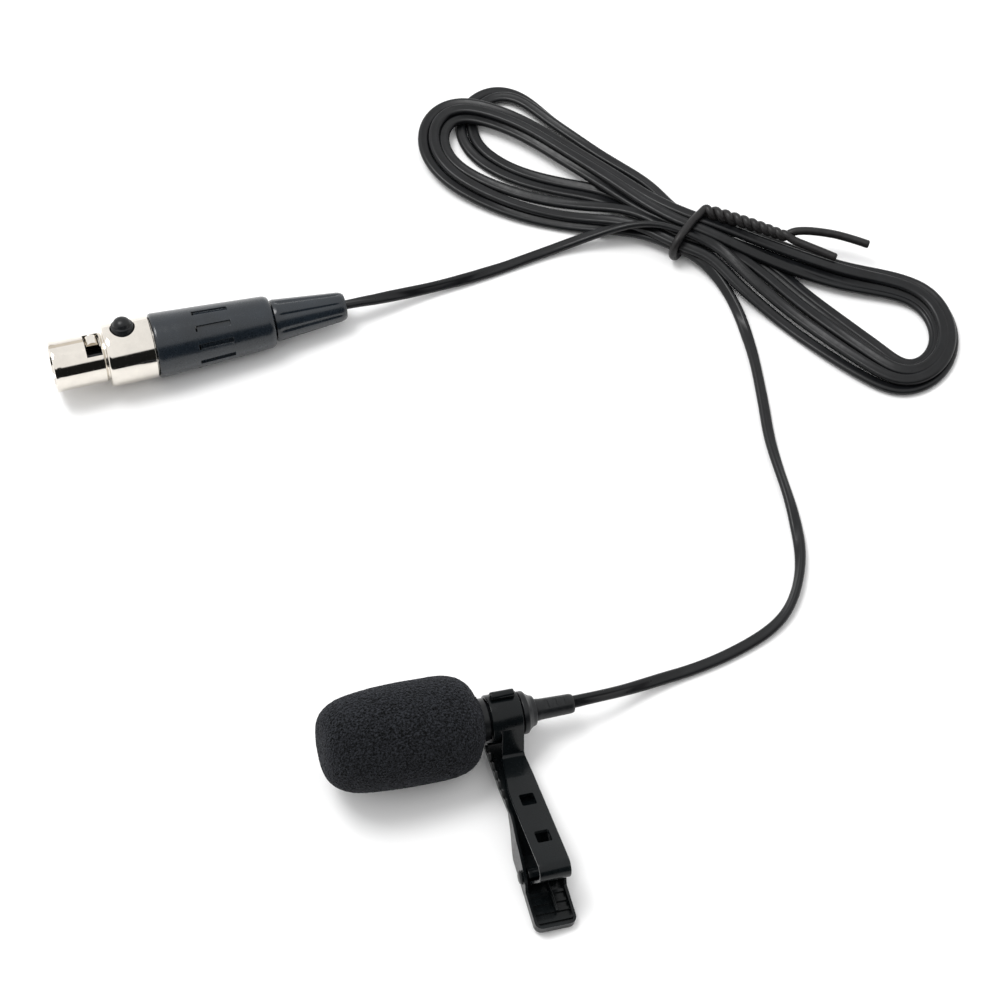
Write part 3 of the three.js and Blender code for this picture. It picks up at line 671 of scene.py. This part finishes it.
def make_tie():
    along = Vector((math.cos(TIE_TURN), math.sin(TIE_TURN), 0))
    across = Vector((-along.y, along.x, 0))

    def at_waist(u, v, z):
        return TIE_WAIST + along * u + across * v + Z * z

    ring = [
        at_waist(1.1, 3.6, TIE_TOP), at_waist(0.5, 1.6, TIE_TOP + 0.1), at_waist(0, -1.2, TIE_TOP + 0.05),
        at_waist(-0.4, -3.6, TIE_TOP - 0.3), at_waist(-0.6, -TIE_HALF, 4.0), at_waist(-0.6, -TIE_HALF, 2.6),
        at_waist(-0.4, -3.9, TIE_LOW + 0.1), at_waist(-0.2, -1.5, TIE_LOW), at_waist(0.1, 1.5, TIE_LOW),
        at_waist(0.5, 3.9, TIE_LOW + 0.1), at_waist(0.9, TIE_HALF, 2.6), at_waist(1.2, TIE_HALF, 4.2),
    ]
    upper = [(84.4, 91.9, 5.2), (86.7, 91.5, 5.3), (91.2, 89.7, 5.1), (94.2, 87.9, 4.9), (96.9, 86.0, 4.7)]
    lower = [(84.2, 90.4, 4.9), (86.2, 88.7, 4.7), (88.6, 86.7, 4.5), (90.5, 85.1, 4.3)]
    one, two = tie_tail(math.pi * 0.25), tie_tail(math.pi * 1.25)
    route = [Vector(p) for p in reversed(upper)] + one[::-1] + ring + two + [Vector(p) for p in lower]
    path = smooth_path(route, 0.22, blur=2)
    tie = wire("tie_wire", path, TIE_R, 16)
    return dressed(tie, "tie_plastic", "root", "hank_tie")


cord, cord_path = make_cord()
make_tie()


# ---------- microphone ----------

FOAM_FRONT, FOAM_WIDEST, FOAM_REAR = -30.0, -12.0, -3.9
FOAM_R, FOAM_BORE_R, FOAM_BORE_END = 8.35, 3.8, -14.6
RING_HALF, RING_R, SHEET = 2.55, 3.85, 0.55
HOUSING_R, SEAT_R = 3.5, 2.75
RELIEF_END = 11.9


def evenly(line, step):
    """The line's points again, at equal steps."""
    line = np.array(line, float)
    run = np.concatenate([[0], np.cumsum(np.linalg.norm(np.diff(line, axis=0), axis=1))])
    at = np.linspace(0, run[-1], int(run[-1] / step) + 1)
    return list(zip(np.interp(at, run, line[:, 0]), np.interp(at, run, line[:, 1])))


def foam_line():
    """The windscreen's outside: a blunt round front and a rounder rear."""
    line = []
    for i in range(401):
        reach = math.sin(math.pi / 2 * (1 - i / 400))
        line.append((FOAM_R * (1 - reach ** 4) ** 0.25, FOAM_WIDEST + (FOAM_FRONT - FOAM_WIDEST) * reach))
    for i in range(1, 201):
        reach = 0.955 * math.sin(math.pi / 2 * i / 200)
        radius = FOAM_R * (1 - reach ** 3) ** (1 / 3)
        line.append((radius, FOAM_WIDEST + (FOAM_REAR - FOAM_WIDEST) * reach))
    return evenly([*line, (FOAM_BORE_R + 0.1, FOAM_REAR)], 0.23)


def make_foam():
    bore = [(FOAM_BORE_R, FOAM_REAR), (FOAM_BORE_R, FOAM_BORE_END), (0, FOAM_BORE_END)]
    line = foam_line()
    line[0] = (0, line[0][1])
    foam = turned("foam_windscreen", line + bore, MIC, 228)
    inverse = MIC.inverted()
    for vertex, normal in zip(foam.data.vertices, [v.normal.copy() for v in foam.data.vertices]):
        point = vertex.co / MM
        own = inverse @ point
        if math.hypot(own.y, own.z) < FOAM_BORE_R + 0.05 and own.x > FOAM_BORE_END - 0.1:
            continue
        pore = noise.voronoi(point / 0.62)[0][0]
        grain = noise.noise(point / 0.45)
        swell = noise.noise(point / 4.0)
        vertex.co += normal * MM * (0.10 * swell + 0.05 * grain - 0.15 * max(0.0, 0.42 - pore) / 0.42)
    return dressed(foam, "foam", "windscreen", "windscreen")


def closed_fillet(points, radius, steps=3):
    """The closed outline with every corner rounded."""
    ring = [points[-1], *points, points[0]]
    return fillet(ring, radius, steps)[1:-1]


def make_capsule():
    housing = turned("mic_housing_shell", closed_fillet([
        (2.9, -14), (HOUSING_R, -14), (HOUSING_R, -RING_HALF - 0.3), (SEAT_R, -RING_HALF - 0.3),
        (SEAT_R, RING_HALF), (2.4, RING_HALF), (2.4, 4.0), (1.3, 4.0), (1.3, -5), (2.9, -5),
    ], 0.12), MIC)
    cap = turned("mic_rear_cap", closed_fillet([
        (2.72, 2.85), (HOUSING_R, 2.85), (HOUSING_R, 3.7), (3.05, 4.1), (2.65, 4.6), (2.4, 5.3), (2.1, 5.3),
        (2.1, 4.4), (2.7, 4.2),
    ], 0.16), MIC)
    dressed(housing, "black_plastic", "root", "mic_housing")
    dressed(cap, "black_plastic", "root", "rear_cap")


def make_relief():
    """The microphone's cord sleeve, with three moulded slots above and below."""
    sleeve = turned("mic_cord_relief", closed_fillet([
        (1.33, 4.75), (1.8, 4.75), (1.8, 5.9), (1.72, 6.4), (1.6, 11.5), (1.45, RELIEF_END),
        (1.33, RELIEF_END),
    ], 0.14), MIC, 72)
    slots = [
        block("slot", (x, x + 0.7), (-2, 2), span, MIC)
        for x in (6.9, 8.3, 9.7) for span in ((1.48, 2.2), (-2.2, -1.48))
    ]
    carve(sleeve, *slots)
    soften(sharpen(sleeve, 40), 0.06, 50)
    return dressed(sleeve, "rubber", "root", "mic_strain_relief")


# ---------- clip ----------

BEND = (-5.6, -3.2)
NECK_LEFT = -1.15
TAPER_LENGTH = 8.1
PIVOT = (-25.9, -4.4)
KNUCKLE_R, U_BEND_R = 1.1, 1.575
PIN_EDGE = 3.55
HOLES = (10.1, 18.0)
HOLE_HALF = 1.2
CREASE_AT = 5.0
# The clip plate's two headings, before and after its crease, in degrees, and its run after the crease.
FIRST_HEADING, PLATE_HEADING = 160.0, 163.2
PLATE_RUN = 18.006
LAP = 1.9
WINDOW_END = 214.0
TAB_AT = (1.85, 3.98)


def bent_line(start, heading, moves):
    """The middle line of a bent strip in Y and Z. A move is a length, or a radius and a turn in degrees."""
    points, (y, z), angle = [tuple(start)], start, math.radians(heading)
    for move in moves:
        if isinstance(move, tuple):
            radius, turn = move[0], math.radians(move[1])
            steps = max(4, int(abs(turn) / math.radians(6)))
            stride, bend = 2 * radius * math.sin(abs(turn) / steps / 2), turn / steps
        else:
            steps = max(1, int(move / 1.2))
            stride, bend = move / steps, 0
        for _ in range(steps):
            angle += bend / 2
            y, z = y + stride * math.cos(angle), z + stride * math.sin(angle)
            angle += bend / 2
            points.append((y, z))
    return points


def rounded_bar(low, high, thickness, radius=0.14, steps=3):
    """A strip's section: across it in X, and through its thickness."""
    half = thickness / 2
    corners = [
        (high - radius, half - radius, 0), (low + radius, half - radius, 90),
        (low + radius, radius - half, 180), (high - radius, radius - half, 270),
    ]
    out = []
    for x, y, start in corners:
        for i in range(steps + 1):
            angle = math.radians(start + 90 * i / steps)
            out.append((x + radius * math.cos(angle), y + radius * math.sin(angle)))
    return out


def strip(name, line, width):
    """A bent strip of sheet. width(run) gives its two edges in X at that distance along it."""
    path = [Vector((0, y, z)) for y, z in line]
    heads = tangents([tuple(p) for p in path])
    run = [0.0]
    for a, b in zip(path, path[1:]):
        run.append(run[-1] + (b - a).length)
    return swept(
        name, path, lambda i: (X, Vector(heads[i]).cross(X)),
        lambda i: rounded_bar(*width(run[i]), SHEET), MIC,
    )


def ring_arc(start, end):
    middle = RING_R - SHEET / 2
    steps = max(4, int(abs(end - start) / 4))
    angles = [math.radians(start + (end - start) * i / steps) for i in range(steps + 1)]
    return [(middle * math.cos(a), middle * math.sin(a)) for a in angles]


def leave_angle():
    """Where a line from the bend touches the ring's middle line."""
    reach = math.acos((RING_R - SHEET / 2) / math.hypot(*BEND))
    return math.degrees(math.atan2(BEND[1], BEND[0]) - reach) % 360


def tongue_moves():
    """From the ring down the neck, up the plate, round the U bend and to the knuckle round the pin."""
    leave = ring_arc(leave_angle(), leave_angle() + 1)[0]
    heading = math.degrees(math.atan2(BEND[1] - leave[1], BEND[0] - leave[0])) % 360
    first, plate = FIRST_HEADING, PLATE_HEADING
    tangent = math.tan(math.radians(heading - first) / 2)
    end = [
        BEND[k] + CREASE_AT * f(math.radians(first)) + PLATE_RUN * f(math.radians(plate))
        for k, f in ((0, math.cos), (1, math.sin))
    ]
    rise = math.radians(180 - plate)
    centre = (end[0] - U_BEND_R * math.sin(rise), end[1] - U_BEND_R * math.cos(rise))
    dy, dz = PIVOT[0] - centre[0], PIVOT[1] - centre[1]
    apart = math.hypot(dy, dz)
    down = math.degrees(math.atan2(dz, dy) + math.asin((U_BEND_R - KNUCKLE_R) / apart)) + 360
    straight = math.sqrt(apart ** 2 - (U_BEND_R - KNUCKLE_R) ** 2)
    neck = math.hypot(BEND[0] - leave[0], BEND[1] - leave[1]) - tangent
    moves = [
        neck, (1.0, first - heading), CREASE_AT - tangent, (3.0, plate - first), 17.9,
        (U_BEND_R, down - plate), straight - LAP,
    ]
    return leave, heading, moves, neck


def make_clip_upper():
    leave, heading, moves, neck = tongue_moves()
    line = bent_line(leave, heading, moves)
    spare = bent_line(leave, heading, [*moves, LAP, (KNUCKLE_R, 285)])

    def tongue(run):
        widening = min(max((run - neck - 0.4) / TAPER_LENGTH, 0), 1)
        return NECK_LEFT - (RING_HALF + NECK_LEFT) * widening, RING_HALF

    parts = [
        strip("clip_frame", ring_arc(WINDOW_END, 360 + leave_angle()), lambda run: (-RING_HALF, RING_HALF)),
        strip("side", ring_arc(leave_angle() - 2, WINDOW_END + 2), lambda run: (-RING_HALF, NECK_LEFT)),
        strip("tongue", line, tongue),
        strip("knuckle", spare[len(line) - 2:], lambda run: (-RING_HALF, 0.2)),
    ]
    bead = turned("tab", [(0, -2.1), (0.5, -2.1), (0.66, -2.02), (0.72, -1.85), (0.72, 1.65), (0.66, 1.82),
                          (0.5, 1.9), (0, 1.9)], MIC @ Matrix.Translation((0, *TAB_AT)), 40)
    upper = carve(parts[0], *parts[1:], bead, how="UNION")
    for station in HOLES:
        y, z = BEND
        for reach, angle in ((CREASE_AT, FIRST_HEADING), (station - CREASE_AT, PLATE_HEADING)):
            y, z = y + reach * math.cos(math.radians(angle)), z + reach * math.sin(math.radians(angle))
        turn = Matrix.Translation((0, y, z)) @ Matrix.Rotation(math.radians(PLATE_HEADING - 180), 4, "X")
        hole = block("hole", (-HOLE_HALF, HOLE_HALF), (-HOLE_HALF, HOLE_HALF), (-1, 1), MIC, turn)
        corners = hole.modifiers.new("corners", "BEVEL")
        corners.width, corners.segments = 0.3 * MM, 4
        corners.limit_method = "ANGLE"
        settle(hole)
        carve(upper, hole)
    soften(sharpen(upper, 35), 0.05, 60)
    return dressed(upper, "black_steel", "clip", "clip_upper")


def make_pin():
    edge, head = PIN_EDGE, 1.15
    side = [(0.65, edge), (head, edge), (head, edge + 0.12), (0.95, edge + 0.3), (0.5, edge + 0.38)]
    profile = [(0, -side[-1][1])] + [(r, -x) for r, x in reversed(side)] + side + [(0, side[-1][1])]
    pin = turned("clip_pin", profile, MIC @ Matrix.Translation((0, *PIVOT)), 40)
    return dressed(sharpen(pin, 40), "black_steel", "clip", "clip_hinge_pin")


def make_spring():
    coil, pitch, turns, floor = 1.2, 0.62, 2.5, -6.42
    points = [(0.75, PIVOT[0] - 6.4, floor + 1.3), (0.75, PIVOT[0] - 2.6, floor + 1.05)]
    for i in range(int(20 * turns) + 1):
        angle = -math.pi / 2 - TAU * i / 20
        y, z = PIVOT[0] + coil * math.cos(angle), PIVOT[1] + coil * math.sin(angle)
        points.append((0.75 + pitch * i / 20, y, z))
    points += [(2.2, PIVOT[0] + 3.0, PIVOT[1] + 1.5), (2.2, PIVOT[0] + 5.5, PIVOT[1] + 2.6)]
    spring = wire("clip_torsion_spring", smooth_path(points, 0.15, blur=0), 0.24, 12, MIC)
    return dressed(spring, "black_steel", "clip", "clip_spring")


def cad_finish(node, slot_name, round_edges=0.0):
    """A CAD node shown as it is, with its finish and, on request, a small round on its edges."""
    made = frame["nodes"][node]
    made.data.materials.clear()
    made.data.materials.append(FINISH[slot_name])
    if round_edges:
        weld = made.modifiers.new("weld", "WELD")
        weld.merge_threshold = 1e-6
        plain = made.modifiers.new("plain", "DECIMATE")
        plain.decimate_type = "DISSOLVE"
        plain.angle_limit = math.radians(1.5)
        soften(made, round_edges, 25, 3)
    return made


make_foam()
make_capsule()
make_relief()
make_clip_upper()
make_pin()
make_spring()
cad_finish("clip_lower_jaw", "black_steel", 0.1)
for node, slot_name in (
    ("mic_grille", "nickel"), ("acoustic_felt", "felt"), ("electret_capsule", "nickel"),
    ("capsule_seat", "rubber"), ("mic_board", "board"), ("cable_clamp", "black_plastic"),
    ("conductor_1", "conductor"), ("conductor_2", "conductor"),
):
    cad_finish(node, slot_name)


# ---------- connector ----------

BARREL_R, BARREL_BORE_R, COLLAR_R = 4.4, 3.8, 5.5
COLLAR_START, COLLAR_END = 9.3, 17.5
HANDLE_R, HANDLE_END, HANDLE_REAR_R = 5.7, 38.8, 4.62
GRIP_MIDDLE = 28.1
WINDOW_SIDES = (-3.2, 1.6)
BOOT_END = 52.0
HOOK_X, BUTTON_X, BUTTON_R = 7.3, 12.9, 1.95
CONTACT_ANGLES = (-90, -15, 195)
GRIP_SLOTS = 10


def make_shell():
    shell = turned("plug_shell", closed_fillet([
        (BARREL_BORE_R, 0), (BARREL_R + 0.05, 0, 0.2), (BARREL_R + 0.1, 0.5), (BARREL_R, 1.3),
        (BARREL_R, COLLAR_START - 0.55), (4.12, COLLAR_START - 0.3), (4.12, COLLAR_START),
        (5.3, COLLAR_START, 0.5),
        (COLLAR_R, COLLAR_START + 0.6, 0.4), (COLLAR_R, COLLAR_END), (4.85, COLLAR_END), (4.85, 24),
        (4.3, 24), (4.3, 10.9), (BARREL_BORE_R, 10.5),
    ], 0.14, 4), PLUG, 160)
    hole = rod("hole", BUTTON_R + 0.25, (BUTTON_X, 0, 2), (BUTTON_X, 0, 8), PLUG, 64)
    carve(
        shell, hole,
        block("keyway", (-1, HOOK_X), (-0.45, 0.45), (BARREL_R - 0.35, BARREL_R + 1), PLUG),
        block("window", (HOOK_X - 1.35, HOOK_X + 1.35), WINDOW_SIDES, (2.6, BARREL_R + 1), PLUG),
    )
    soften(sharpen(shell, 30), 0.07, 40)
    return dressed(shell, "nickel", "root", "connector_shell")


def make_insert():
    side = [(0.5, 0.8), (2.75, 0.8), (2.75, 11.5), (4.0, 11.5), (4.0, 14.8), (0.5, 14.8)]
    insert = turned("plug_insert", [(0, 0.8), *fillet(side, 0.15), (0, 14.8)], PLUG, 72)
    cutters = [
        block("latch_slot", (4.8, 16), (-1.6, 1.6), (1.75, 5), PLUG),
        block("button_slot", (11, 16), (-2.3, 2.3), (2.5, 5), PLUG),
    ]
    for angle in CONTACT_ANGLES:
        y, z = 1.55 * math.cos(math.radians(angle)), 1.55 * math.sin(math.radians(angle))
        cutters.append(rod("bore", 0.7, (-1, y, z), (17, y, z), PLUG, 28))
    carve(insert, *cutters)
    soften(sharpen(insert, 30), 0.06, 40)
    return dressed(insert, "black_plastic", "root", "socket_insert")


def make_latch():
    """The spring leaf with its round hook, and the button on it."""
    width = 1.2
    hook = []
    for i in range(13):
        angle = math.pi * i / 12
        hook.append((HOOK_X - 1.15 * math.cos(angle), LEAF_HIGH + 1.05 * math.sin(angle)))
    outline = [(LATCH_PIVOT_X, LEAF_LOW), (LATCH_PIVOT_X, LEAF_HIGH)]
    outline += [*reversed(hook), (HOOK_X - 1.2, LEAF_LOW)]
    count = len(outline)
    points = [(x, y, z) for y in (-width, width) for x, z in outline]
    faces = [tuple(range(count)), tuple(reversed(range(count, 2 * count)))]
    faces += [(i, (i + 1) % count, count + (i + 1) % count, count + i) for i in range(count)]
    leaf = outward(new_object("plug_latch_leaf", points, faces, PLUG))
    soften(sharpen(leaf, 35), 0.06, 50)
    dressed(leaf, "nickel", "latch", "latch_leaf")

    dome = [(0, LEAF_HIGH + 0.25), (BUTTON_R, LEAF_HIGH + 0.25), (BUTTON_R, 5.9), (1.86, 6.02), (1.62, 6.06)]
    for i in range(1, 13):
        angle = math.pi / 2 * i / 12
        dome.append((1.6 * math.cos(angle), 6.1 + 1.28 * math.sin(angle)))
    dome[-1] = (0, 7.3)
    upright = PLUG @ Matrix.Translation((BUTTON_X, 0, 0)) @ Matrix.Rotation(-math.pi / 2, 4, "Y")
    button = turned("plug_latch_button", dome, upright, 72)
    soften(sharpen(button, 40), 0.08, 50)
    dressed(button, "black_plastic", "latch", "latch_button")


def make_handle():
    front, rear = (HANDLE_R, COLLAR_END + 0.7), (HANDLE_REAR_R, HANDLE_END - 0.8)
    handle = turned("plug_handle", closed_fillet([
        (5.15, COLLAR_END + 0.3), (HANDLE_R - 0.15, COLLAR_END + 0.3, 0.2), (*front, 0.3), (*rear, 0.6),
        (4.3, HANDLE_END - 0.15, 0.4), (3.9, HANDLE_END), (3.0, HANDLE_END), (3.0, HANDLE_END - 1.4),
        (3.6, HANDLE_END - 1.4), (4.2, 25.5), (5.15, 25.2),
    ], 0.14, 4), PLUG, 160)
    taper = (front[0] - rear[0]) / (rear[1] - front[1])
    surface = front[0] - taper * (GRIP_MIDDLE - front[1])
    slots = []
    for i in range(GRIP_SLOTS):
        turn = Matrix.Rotation(TAU * i / GRIP_SLOTS, 4, "X") @ Matrix.Translation((GRIP_MIDDLE, 0, surface))
        turn = turn @ Matrix.Rotation(math.atan(taper), 4, "Y")
        slots.append(block("slot", (-3.1, 3.1), (-0.5, 0.5), (-0.42, 1), PLUG, turn))
    carve(handle, *slots)
    soften(sharpen(handle, 30), 0.1, 40, 3)
    return dressed(handle, "handle_rubber", "root", "handle")


def make_boot():
    def flutes(x, radius, angle):
        depth = 0.07 * ease(39.3, 40.5, x) * (1 - ease(50.2, 51.4, x)) if radius > 2.3 else 0
        return 1 - depth * math.cos(4 * angle + 0.3) ** 16

    outside = evenly([(3.6, 39.1), (3.74, 39.25), (2.6, 51.0), (2.42, 51.6), (2.1, 51.95)], 0.4)
    profile = [(1.36, 36), (2.58, 36), (2.58, 38.9), (2.7, 39.1), *outside, (1.5, BOOT_END), (1.36, 51.9)]
    boot = turned("plug_cord_boot", profile, PLUG, 160, flutes)
    sharpen(boot, 40)
    return dressed(boot, "handle_rubber", "root", "flex_boot")


make_shell()
make_insert()
make_latch()
make_handle()
make_boot()
for number in (1, 2, 3):
    cad_finish(f"socket_contact_{number}", "brass")


# ---------- table and light ----------

TABLE_HALF = 2000
WALL, FLAG = 1.12, 0.012


def make_table():
    half = TABLE_HALF
    corners = [(-half, -half, 0), (half, -half, 0), (half, half, 0), (-half, half, 0)]
    table = new_object("table", corners, [(0, 1, 2, 3)], smooth=False)
    paper = Finish("paper", (0.93, 0.93, 0.93), 0.7, Specular_IOR_Level=0.1)
    paper.bump(paper.noise(1.5), 0.004)
    table.data.materials.append(paper.material)


def make_studio():
    """White walls all round, with a black flag low down on the camera's side."""
    world = bpy.data.worlds.new("studio")
    bpy.context.scene.world = world
    world.use_nodes = True
    nodes, links = world.node_tree.nodes, world.node_tree.links
    back = nodes["Background"]
    place = nodes.new("ShaderNodeTexCoord")
    parts = nodes.new("ShaderNodeSeparateXYZ")
    links.new(place.outputs["Generated"], parts.inputs["Vector"])

    def fade(socket, start, end, low, high):
        node = nodes.new("ShaderNodeMapRange")
        node.interpolation_type = "SMOOTHSTEP"
        for name, value in (("From Min", start), ("From Max", end), ("To Min", low), ("To Max", high)):
            node.inputs[name].default_value = value
        links.new(socket, node.inputs["Value"])
        return node.outputs["Result"]

    facing = fade(parts.outputs["Y"], -0.62, -0.45, 1, 0)
    lowdown = fade(parts.outputs["Z"], 0.66, 0.74, 1, 0)
    flag = nodes.new("ShaderNodeMath")
    flag.operation = "MULTIPLY"
    links.new(facing, flag.inputs[0])
    links.new(lowdown, flag.inputs[1])
    bright = fade(flag.outputs["Value"], 0, 1, WALL, FLAG)
    links.new(bright, back.inputs["Strength"])
    back.inputs["Color"].default_value = (1, 1, 1, 1)


def soft_box(name, at, towards, side, watts):
    light = bpy.data.lights.new(name, "AREA")
    light.shape = "SQUARE"
    light.size = side
    light.energy = watts
    made = bpy.data.objects.new(name, light)
    made.location = at
    made.rotation_euler = (Vector(towards) - Vector(at)).to_track_quat("-Z", "Y").to_euler()
    bpy.context.scene.collection.objects.link(made)


make_table()
make_studio()
soft_box("top_light", (-0.25, 0.35, 0.9), (0.03, 0.06, 0), 0.4, 5)
bpy.context.scene.view_settings.view_transform = "Standard"
